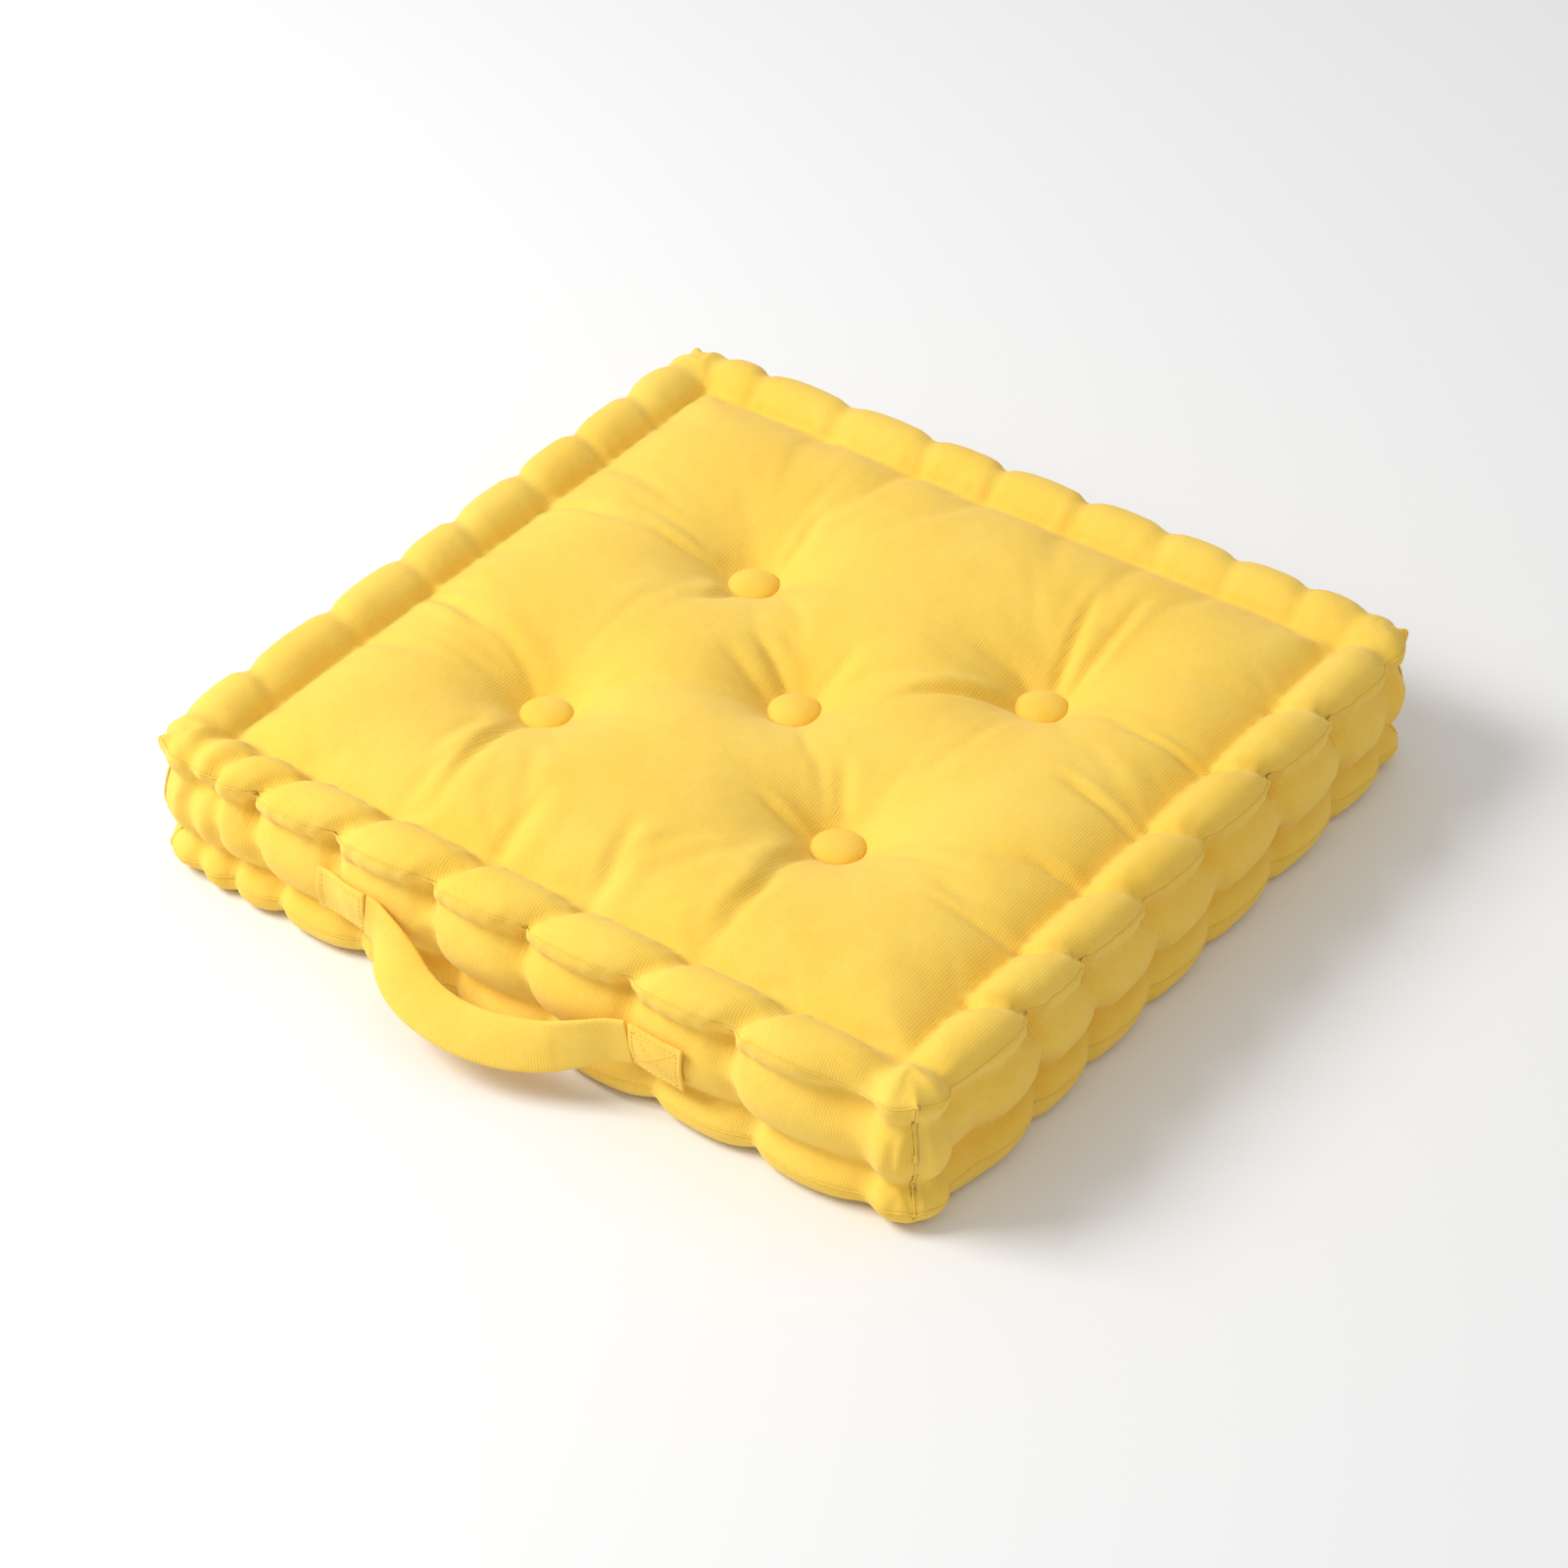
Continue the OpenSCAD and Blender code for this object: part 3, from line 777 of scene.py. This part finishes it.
strap = {
    "width": 0.028,
    "thickness": 0.0024,
    "leftTab": (-0.129, -0.094),
    "rightTab": (0.078, 0.113),
    "lowerEdge": 0.031,
    "hinge": (-0.249, 0.059),
    # middle line of the loop: x, y, z, and how far its upper edge leans back, degrees
    "loop": [
        (-0.0940, -0.2496, 0.0450, 0),
        (-0.0860, -0.2520, 0.0440, 6),
        (-0.0760, -0.2570, 0.0410, 24),
        (-0.0640, -0.2640, 0.0370, 48),
        (-0.0500, -0.2710, 0.0330, 62),
        (-0.0340, -0.2760, 0.0310, 66),
        (-0.0160, -0.2780, 0.0300, 62),
        (0.0020, -0.2770, 0.0300, 50),
        (0.0200, -0.2730, 0.0310, 36),
        (0.0380, -0.2670, 0.0340, 22),
        (0.0540, -0.2590, 0.0390, 10),
        (0.0670, -0.2520, 0.0430, 3),
        (0.0780, -0.2496, 0.0450, 0),
    ],
    "stitchLength": 0.0024,
    "stitchGap": 0.0009,
    "stitchRadius": 0.00032,
    "margin": 0.003,
}


def layTab(name, ends, surface, freeEnd):
    # a sewn end that follows the puffs under it without dipping into their creases
    low, high = ends
    columns, rows = 20, 16
    mesh = bmesh.new()
    bmesh.ops.create_grid(mesh, x_segments=columns, y_segments=rows, size=0.5)
    heights = {}
    for vert in mesh.verts:
        column = round((vert.co.x + 0.5) * columns)
        row = round((vert.co.y + 0.5) * rows)
        x = low + (high - low) * column / columns
        z = strap["lowerEdge"] + strap["width"] * row / rows
        hit = surface.ray_cast(Vector((x, -0.35, z)), Vector((0, 1, 0)))[0]
        heights[column, row] = hit.y
        vert.co = (x, 0, z)
    grid = np.array([[heights[column, row] for row in range(rows + 1)] for column in range(columns + 1)])
    shape = grid.copy()
    for step in range(60):
        padded = np.pad(shape, 1, mode="edge")
        near = (padded[:-2, 1:-1] + padded[2:, 1:-1] + padded[1:-1, :-2] + padded[1:-1, 2:]) / 4
        shape = np.minimum(near, grid)
    level = float(shape.min())
    shape = shape * 0.75 + 0.25 * np.minimum(shape, level + 0.002)
    pattern = mesh.loops.layers.uv.new("cut")
    for face in mesh.faces:
        for loop in face.loops:
            loop[pattern].uv = (loop.vert.co.x, loop.vert.co.z)
    for vert in mesh.verts:
        column = round((vert.co.x - low) / (high - low) * columns)
        row = round((vert.co.z - strap["lowerEdge"]) / strap["width"] * rows)
        rim = min(row, rows - row)
        soft = 0.0006 if rim == 0 else 0.0001 if rim == 1 else 0
        lift = 0.0008 if column == (columns if freeEnd > 0 else 0) else 0
        vert.co.y = shape[column, row] - strap["thickness"] - 0.0002 + soft - lift
    bmesh.ops.recalc_face_normals(mesh, faces=mesh.faces)
    if mesh.faces[:][0].normal.y > 0:
        bmesh.ops.reverse_faces(mesh, faces=mesh.faces)
    piece = addObject(name, mesh)
    wall = piece.modifiers.new("webbing", "SOLIDIFY")
    wall.thickness = strap["thickness"] - 0.0003
    wall.offset = -1
    smooth = piece.modifiers.new("smooth", "SUBSURF")
    smooth.levels = smooth.render_levels = 1
    return piece, shape - strap["thickness"] - 0.0002


def tabStitches(ends, shape, cross):
    # a square of stitches, and a cross in it where there is one
    low, high = ends
    margin = strap["margin"]
    bottom = strap["lowerEdge"]
    left, right = low + margin, high - margin
    down, up = bottom + margin, bottom + strap["width"] - margin
    lines = [((left, down), (right, down)), ((right, down), (right, up)), ((right, up), (left, up))]
    lines.append(((left, up), (left, down)))
    if cross:
        lines += [((left, down), (right, up)), ((left, up), (right, down))]

    def spotAt(x, z, lift):
        column = (x - low) / (high - low) * (shape.shape[0] - 1)
        row = (z - bottom) / strap["width"] * (shape.shape[1] - 1)
        i, j = min(int(column), shape.shape[0] - 2), min(int(row), shape.shape[1] - 2)
        a, b = column - i, row - j
        lower = shape[i, j] * (1 - a) + shape[i + 1, j] * a
        upper = shape[i, j + 1] * (1 - a) + shape[i + 1, j + 1] * a
        y = lower * (1 - b) + upper * b
        return Vector((x, y - lift, z))

    paths = []
    pitch = strap["stitchLength"] + strap["stitchGap"]
    for start, end in lines:
        first, last = Vector(start), Vector(end)
        length = (last - first).length
        count = max(1, round(length / pitch))
        for number in range(count):
            a = number / count
            b = a + strap["stitchLength"] / pitch / count
            spots = [first.lerp(last, a + (b - a) * part) for part in (0, 0.2, 0.8, 1)]
            lifts = (-0.0006, 0.0001, 0.0001, -0.0006)
            paths.append([spotAt(*spot, lift) for spot, lift in zip(spots, lifts)])
    return paths


def loopPiece(name, line):
    columns, rows = len(line) - 1, 8
    mesh = bmesh.new()
    bmesh.ops.create_grid(mesh, x_segments=columns, y_segments=rows, size=0.5)
    layer = mesh.verts.layers.int.new("column")
    pattern = mesh.loops.layers.uv.new("cut")
    steps = np.concatenate([[0], np.cumsum(np.linalg.norm(np.diff(line[:, :3], axis=0), axis=1))])
    places = {}
    for vert in mesh.verts:
        column = round((vert.co.x + 0.5) * columns)
        row = round((vert.co.y + 0.5) * rows)
        x, y, z, lean = line[column]
        across = (row / rows - 0.5) * strap["width"]
        tilt = math.radians(lean)
        ahead = Vector(line[min(column + 1, columns)][:3] - line[max(column - 1, 0)][:3]).normalized()
        up = Vector((0, math.sin(tilt), math.cos(tilt)))
        up = (up - ahead * up.dot(ahead)).normalized()
        spot = Vector((x, y, z)) + up * across
        cup = ahead.cross(up) * (0.0008 * (1 - (2 * across / strap["width"]) ** 2))
        places[vert] = (spot + cup * (1 if lean > 20 else 0.3), (x, across))
        vert[layer] = column
    for face in mesh.faces:
        for loop in face.loops:
            loop[pattern].uv = (steps[loop.vert[layer]], places[loop.vert][1][1])
    for vert, (spot, ignored) in places.items():
        vert.co = spot
    if sum(face.normal.y for face in mesh.faces) > 0:
        bmesh.ops.reverse_faces(mesh, faces=mesh.faces)
    mesh.normal_update()
    piece = addObject(name, mesh)
    wall = piece.modifiers.new("webbing", "SOLIDIFY")
    wall.thickness = strap["thickness"]
    wall.offset = 0
    smooth = piece.modifiers.new("smooth", "SUBSURF")
    smooth.levels = smooth.render_levels = 1
    return piece


def addNode(tree, kind, **values):
    node = tree.nodes.new(kind)
    for name, value in values.items():
        setattr(node, name, value)
    return node


def newSocket(group, name, way, kind, value=None):
    socket = group.interface.new_socket(name=name, in_out=way, socket_type=kind)
    if value is not None:
        socket.default_value = value
    return socket


def calculate(tree, operation, first, second=None, third=None):
    node = addNode(tree, "ShaderNodeMath", operation=operation)
    for socket, value in zip(node.inputs, (first, second, third)):
        if value is None:
            continue
        if isinstance(value, (int, float)):
            socket.default_value = value
        else:
            tree.links.new(value, socket)
    return node.outputs[0]


def scaledNoise(tree, vector, scale, detail, roughness=0.5):
    stretch = addNode(tree, "ShaderNodeVectorMath", operation="MULTIPLY")
    stretch.inputs[1].default_value = scale
    tree.links.new(vector, stretch.inputs[0])
    noise = addNode(tree, "ShaderNodeTexNoise")
    noise.inputs["Scale"].default_value = 1
    noise.inputs["Detail"].default_value = detail
    noise.inputs["Roughness"].default_value = roughness
    tree.links.new(stretch.outputs[0], noise.inputs["Vector"])
    return noise.outputs["Fac"]


def colorRamp(tree, factor, low, lowColor, high, highColor):
    ramp = addNode(tree, "ShaderNodeValToRGB")
    for element, place, color in zip(ramp.color_ramp.elements, (low, high), (lowColor, highColor)):
        element.position = place
        element.color = color
    tree.links.new(factor, ramp.inputs["Fac"])
    return ramp.outputs["Color"]


def addBump(tree, height, strength, distance):
    bump = addNode(tree, "ShaderNodeBump")
    bump.inputs["Strength"].default_value = strength
    bump.inputs["Distance"].default_value = distance
    tree.links.new(height, bump.inputs["Height"])
    return bump


def darken(tree, color, mask, strength):
    mix = addNode(tree, "ShaderNodeMix", data_type="RGBA", blend_type="MULTIPLY")
    tree.links.new(color, mix.inputs["A"])
    tree.links.new(mask, mix.inputs["B"])
    mix.inputs["Factor"].default_value = strength
    return mix.outputs["Result"]


def buildWeave():
    # threads of a woven cotton: Height for bump, Thread, Slub and Shade as masks from 0 to 1
    group = bpy.data.node_groups.new("cottonWeave", "ShaderNodeTree")
    newSocket(group, "Vector", "INPUT", "NodeSocketVector")
    newSocket(group, "Rib Spacing", "INPUT", "NodeSocketFloat", 0.0016)
    newSocket(group, "Cross Spacing", "INPUT", "NodeSocketFloat", 0.0011)
    newSocket(group, "Unevenness", "INPUT", "NodeSocketFloat", 0.0006)
    for name in ("Height", "Thread", "Slub", "Shade"):
        newSocket(group, name, "OUTPUT", "NodeSocketFloat")
    start = addNode(group, "NodeGroupInput")
    end = addNode(group, "NodeGroupOutput")
    vector = start.outputs["Vector"]
    parts = addNode(group, "ShaderNodeSeparateXYZ")
    group.links.new(vector, parts.inputs[0])
    drift = scaledNoise(group, vector, (70, 14, 50), 2)
    wander = calculate(group, "MULTIPLY", drift, start.outputs["Unevenness"])
    waves = []
    for axis, spacing in ((0, "Rib Spacing"), (1, "Cross Spacing")):
        moved = calculate(group, "ADD", parts.outputs[axis], wander)
        turns = calculate(group, "DIVIDE", moved, start.outputs[spacing])
        wave = calculate(group, "SINE", calculate(group, "MULTIPLY", turns, 2 * math.pi))
        waves.append(calculate(group, "MULTIPLY_ADD", wave, 0.5, 0.5))
    ribs, crosses = waves
    slub = scaledNoise(group, vector, (1100, 130, 600), 3, 0.6)
    fuzz = scaledNoise(group, vector, (1500, 1500, 1500), 2, 0.6)
    thread = calculate(group, "MULTIPLY_ADD", ribs, 0.6, calculate(group, "MULTIPLY", crosses, 0.4))
    height = calculate(group, "MULTIPLY_ADD", thread, 0.6, calculate(group, "MULTIPLY", slub, 0.5))
    height = calculate(group, "MULTIPLY_ADD", fuzz, 0.35, height)
    broad = scaledNoise(group, vector, (9, 9, 9), 3, 0.55)
    patchy = scaledNoise(group, vector, (55, 55, 55), 4, 0.6)
    shade = calculate(group, "MULTIPLY_ADD", patchy, 0.3, calculate(group, "MULTIPLY", broad, 0.7))
    for name, value in (("Height", height), ("Thread", thread), ("Slub", slub), ("Shade", shade)):
        group.links.new(value, end.inputs[name])
    return group


# base colours, linear: where the cloth is thin or rubbed, and where the dye lies deepest
cottonColors = {
    "cover": {
        "pale": (0.950, 0.668, 0.122, 1),
        "deep": (0.935, 0.595, 0.072, 1),
        "rib": 0.0016,
        "cross": 0.0011,
        "bump": 0.50,
    },
    "button": {
        "pale": (0.945, 0.655, 0.112, 1),
        "deep": (0.930, 0.580, 0.066, 1),
        "rib": 0.0013,
        "cross": 0.0010,
        "bump": 0.50,
    },
    "strap": {
        "pale": (0.945, 0.658, 0.120, 1),
        "deep": (0.930, 0.588, 0.070, 1),
        "rib": 0.0015,
        "cross": 0.0010,
        "bump": 0.60,
    },
}


def cottonMaterial(name, weave):
    values = cottonColors[name]
    material = bpy.data.materials.new(name + "Cotton")
    material.use_nodes = True
    tree = material.node_tree
    shader = tree.nodes["Principled BSDF"]
    where = addNode(tree, "ShaderNodeUVMap", uv_map="cut")
    cloth = addNode(tree, "ShaderNodeGroup", node_tree=weave)
    cloth.inputs["Rib Spacing"].default_value = values["rib"]
    cloth.inputs["Cross Spacing"].default_value = values["cross"]
    tree.links.new(where.outputs["UV"], cloth.inputs["Vector"])
    white = (1, 1, 1, 1)
    dye = colorRamp(tree, cloth.outputs["Shade"], 0.30, values["deep"], 0.66, values["pale"])
    shadow = colorRamp(tree, cloth.outputs["Thread"], 0.15, (0.93, 0.88, 0.72, 1), 0.75, white)
    fleck = colorRamp(tree, cloth.outputs["Slub"], 0.28, (0.95, 0.91, 0.80, 1), 0.50, white)
    color = darken(tree, darken(tree, dye, shadow, 0.8), fleck, 0.8)
    tree.links.new(color, shader.inputs["Base Color"])
    rough = calculate(tree, "MULTIPLY_ADD", cloth.outputs["Slub"], 0.12, 0.80)
    tree.links.new(rough, shader.inputs["Roughness"])
    shader.inputs["Specular IOR Level"].default_value = 0.25
    shader.inputs["Sheen Weight"].default_value = 0.22
    shader.inputs["Sheen Roughness"].default_value = 0.5
    shader.inputs["Sheen Tint"].default_value = (1.0, 0.92, 0.66, 1)
    bump = addBump(tree, cloth.outputs["Height"], values["bump"], 0.0004)
    soft = addBump(tree, scaledNoise(tree, where.outputs["UV"], (42, 42, 42), 3, 0.45), 0.35, 0.0030)
    tree.links.new(soft.outputs["Normal"], bump.inputs["Normal"])
    tree.links.new(bump.outputs["Normal"], shader.inputs["Normal"])
    return material


def plainMaterial(name, pale, deep, scale, roughness, bumpDistance, metallic=0.0):
    # thread, twine, fibre and metal: a colour that varies, with a little relief
    material = bpy.data.materials.new(name)
    material.use_nodes = True
    tree = material.node_tree
    shader = tree.nodes["Principled BSDF"]
    where = addNode(tree, "ShaderNodeTexCoord")
    noise = scaledNoise(tree, where.outputs["Object"], scale, 4, 0.6)
    tree.links.new(colorRamp(tree, noise, 0.35, deep, 0.65, pale), shader.inputs["Base Color"])
    rough = calculate(tree, "MULTIPLY_ADD", noise, 0.15, roughness - 0.075)
    tree.links.new(rough, shader.inputs["Roughness"])
    shader.inputs["Metallic"].default_value = metallic
    bump = addBump(tree, noise, 0.5, bumpDistance)
    tree.links.new(bump.outputs["Normal"], shader.inputs["Normal"])
    return material


print("stage: materials")
weave = buildWeave()
coverCotton = cottonMaterial("cover", weave)
buttonCotton = cottonMaterial("button", weave)
strapCotton = cottonMaterial("strap", weave)
sewingThread = plainMaterial(
    "sewingThread", (0.93, 0.66, 0.11, 1), (0.86, 0.54, 0.06, 1),
    (900, 900, 900), 0.75, 0.0002)
quiltThread = plainMaterial(
    "quiltThread", (0.84, 0.54, 0.08, 1), (0.62, 0.34, 0.03, 1),
    (700, 700, 700), 0.75, 0.0003)
fibre = plainMaterial(
    "paddingFibre", (0.90, 0.88, 0.82, 1), (0.78, 0.75, 0.68, 1),
    (140, 140, 140), 0.95, 0.002)
twineCotton = plainMaterial(
    "twineCotton", (0.85, 0.80, 0.68, 1), (0.62, 0.56, 0.44, 1),
    (900, 900, 300), 0.9, 0.0003)
shellMetal = plainMaterial(
    "shellMetal", (0.62, 0.62, 0.63, 1), (0.45, 0.45, 0.47, 1),
    (300, 300, 300), 0.42, 0.0001, 1.0)

print("stage: cover")
coarse, fine, points, pins = coverMesh()
cutWidth, cutDepth = cutSize()
sideCut = cushion["sideCloth"]
coverCuts = {
    "cover_top": (0, "top_panel", (cutWidth, cutDepth)),
    "cover_bottom": (1, "bottom_panel", (cutWidth, cutDepth)),
    "cover_side_front": (2, "side_panel_front", (cutWidth, sideCut)),
    "cover_side_right": (3, "side_panel_right", (cutDepth, sideCut)),
    "cover_side_back": (4, "side_panel_back", (cutWidth, sideCut)),
    "cover_side_left": (5, "side_panel_left", (cutDepth, sideCut)),
}
for name, (index, node, cut) in coverCuts.items():
    piece = coverPiece(fine, index, name)
    finishPiece(piece, coverCotton, [node])

print("stage: filling")
padding = {"inset": 0.0056}
mesh = bmesh.new()
mesh.from_mesh(coarse)
mesh.normal_update()
folded = pressFolds(points.copy(), points[:, 2] > 0.055)
for vert, spot in zip(mesh.verts, folded):
    vert.co = spot
for vert in mesh.verts:
    vert.co -= vert.normal * padding["inset"]
    vert.co.z = max(vert.co.z, 0.0030)
filling = addObject("cushion_filling", mesh)
finishPiece(filling, fibre, ["filling"])

print("stage: threads")
paths = seamPaths(fine)
seamRows = {
    "seam_top": ("seam_thread_top", "top"),
    "seam_bottom": ("seam_thread_bottom", "bottom"),
    "seam_corners": ("corner_seam_threads", "corner"),
}
for name, (node, row) in seamRows.items():
    piece = threadPiece(name, paths[row], seam["threadRadius"])
    finishPiece(piece, sewingThread, [node])
coarse.update()
normals = np.zeros(len(coarse.vertices) * 3)
coarse.vertices.foreach_get("normal", normals)
rows = stitchPaths(points, normals.reshape(-1, 3), pins)
for face in ("top", "bottom"):
    piece = threadPiece("quilt_stitches_" + face, rows[face], stitching["threadRadius"])
    finishPiece(piece, quiltThread, ["edge_stitches_" + face])

print("stage: buttons")
buttonSeats = {"top": 0.064, "bottom": 0.036}
for face, level in buttonSeats.items():
    for number, (where, place) in enumerate(cushion["tufts"].items()):
        piece = buttonPiece(face + "_button_cloth_" + where, place, level, face, 0.4 + 1.1 * number)
        finishPiece(piece, buttonCotton, [face + "_button_cover_" + where])
for name, node in nodes.items():
    kind = None
    if "_button_" in name and "cover" not in name:
        kind = shellMetal
    elif "twine" in name:
        kind = twineCotton
    if kind:
        node.data.materials.clear()
        node.data.materials.append(kind)

print("stage: strap")
mesh = bmesh.new()
mesh.from_mesh(fine)
surface = BVHTree.FromBMesh(mesh)
mesh.free()
tabPieces = {}
for side, ends, freeEnd in (("left", strap["leftTab"], -1), ("right", strap["rightTab"], 1)):
    piece, shape = layTab("strap_end_" + side, ends, surface, freeEnd)
    finishPiece(piece, strapCotton, ["strap_tab_" + side])
    sewing = tabStitches(ends, shape, side == "right")
    stitches = threadPiece("strap_stitches_" + side, sewing, strap["stitchRadius"])
    finishPiece(stitches, sewingThread, ["box_stitching_" + side])
    tabPieces[side] = shape
leftY = float(tabPieces["left"][-1].mean()) + strap["thickness"] / 2
rightY = float(tabPieces["right"][0].mean()) + strap["thickness"] / 2
stops = [list(stop) for stop in strap["loop"]]
stops[0][1], stops[1][1] = leftY, min(stops[1][1], leftY - 0.001)
stops[-1][1], stops[-2][1] = rightY, min(stops[-2][1], rightY - 0.001)
line = smoothPath(stops, 97)
handle = loopPiece("strap_handle", line)
finishPiece(handle, strapCotton, ["strap_loop"], body=None)
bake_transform(handle)

print("stage: floor, light and camera")
studio = {
    "floor": (0.86, 0.86, 0.86, 1),
    "keyPower": 62,
    "keyPlace": (-1.6, -1.2, 1.9),
    "keySize": 1.2,
    "sky": 0.60,
    "cameraAzimuth": 36.05,
    "cameraElevation": 38.40,
    "cameraDistance": 2.151,
    "cameraAim": (0.0505, -0.0787, 0.089),
    "lens": 93.9,
}
mesh = bmesh.new()
bmesh.ops.create_grid(mesh, x_segments=2, y_segments=2, size=6)
floor = addObject("studio_floor", mesh)
floorPaint = bpy.data.materials.new("floorPaint")
floorPaint.use_nodes = True
floorPaint.node_tree.nodes["Principled BSDF"].inputs["Base Color"].default_value = studio["floor"]
floorPaint.node_tree.nodes["Principled BSDF"].inputs["Roughness"].default_value = 0.9
floor.data.materials.append(floorPaint)
world = bpy.data.worlds.new("studioSky")
scene.world = world
world.use_nodes = True
world.node_tree.nodes["Background"].inputs["Color"].default_value = (1, 1, 1, 1)
world.node_tree.nodes["Background"].inputs["Strength"].default_value = studio["sky"]


def lookAt(holder, spot, target):
    holder.location = spot
    holder.rotation_mode = "QUATERNION"
    holder.rotation_quaternion = (Vector(target) - Vector(spot)).to_track_quat("-Z", "Y")


key = bpy.data.objects.new("keyLight", bpy.data.lights.new("keyLight", "AREA"))
scene.collection.objects.link(key)
key.data.size = studio["keySize"]
key.data.energy = studio["keyPower"]
lookAt(key, studio["keyPlace"], (0, 0, 0.05))
camera = bpy.data.objects.new("camera", bpy.data.cameras.new("camera"))
scene.collection.objects.link(camera)
azimuth, elevation = math.radians(studio["cameraAzimuth"]), math.radians(studio["cameraElevation"])
level = math.cos(elevation)
back = Vector((math.sin(azimuth) * level, -math.cos(azimuth) * level, math.sin(elevation)))
aim = Vector(studio["cameraAim"])
lookAt(camera, aim + back * studio["cameraDistance"], aim)
camera.data.lens = studio["lens"]
camera.data.sensor_width = 36
scene.camera = camera
scene.view_settings.view_transform = "Standard"

print("stage: finish")
